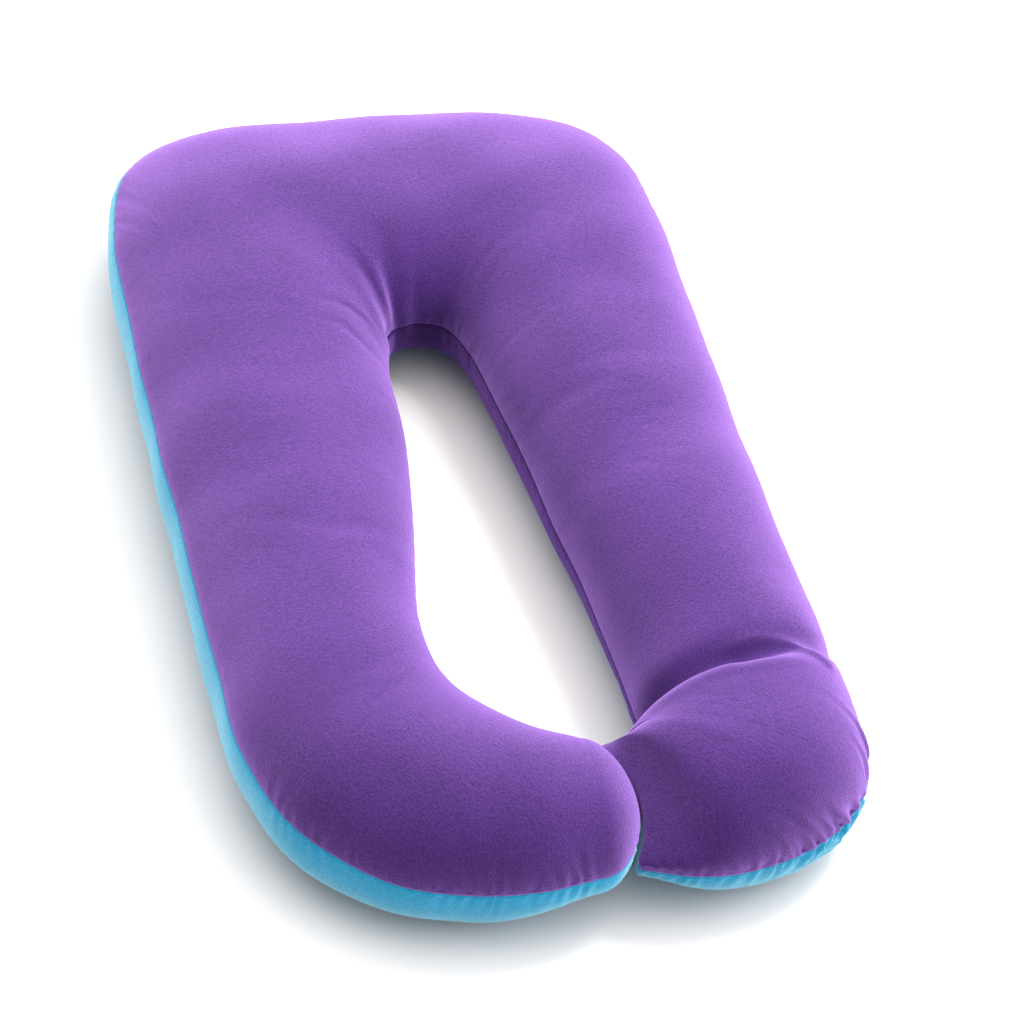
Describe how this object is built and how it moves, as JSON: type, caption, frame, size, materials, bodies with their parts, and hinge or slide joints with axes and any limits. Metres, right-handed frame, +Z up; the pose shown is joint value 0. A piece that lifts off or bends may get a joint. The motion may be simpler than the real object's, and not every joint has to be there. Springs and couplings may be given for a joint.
{
  "type": "pregnancy pillow",
  "caption": "Stuffed U-shaped body pillow lying flat, with its two feet turned in to touch, a plush top, a sewn inner strip and a contrasting underside.",
  "frame": {"origin": "on the surface that the pillow lies on, under the middle of its bounding box", "axes": "+Z up out of the purple top, +Y along the length from the feet to the closed head end, +X towards the leg with the buckle"},
  "size_m": [0.8088, 1.4913, 0.1996],
  "materials": {
    "top_plush": "purple short-pile plush with a soft sheen",
    "underside_plush": "light-blue short-pile plush",
    "band_plush": "purple short-pile plush, as the top"
  },
  "bodies": {
    "root": {"filled_body": "top_plush", "underside_panel": "underside_plush", "inner_band": "band_plush"}
  },
  "joints": []
}
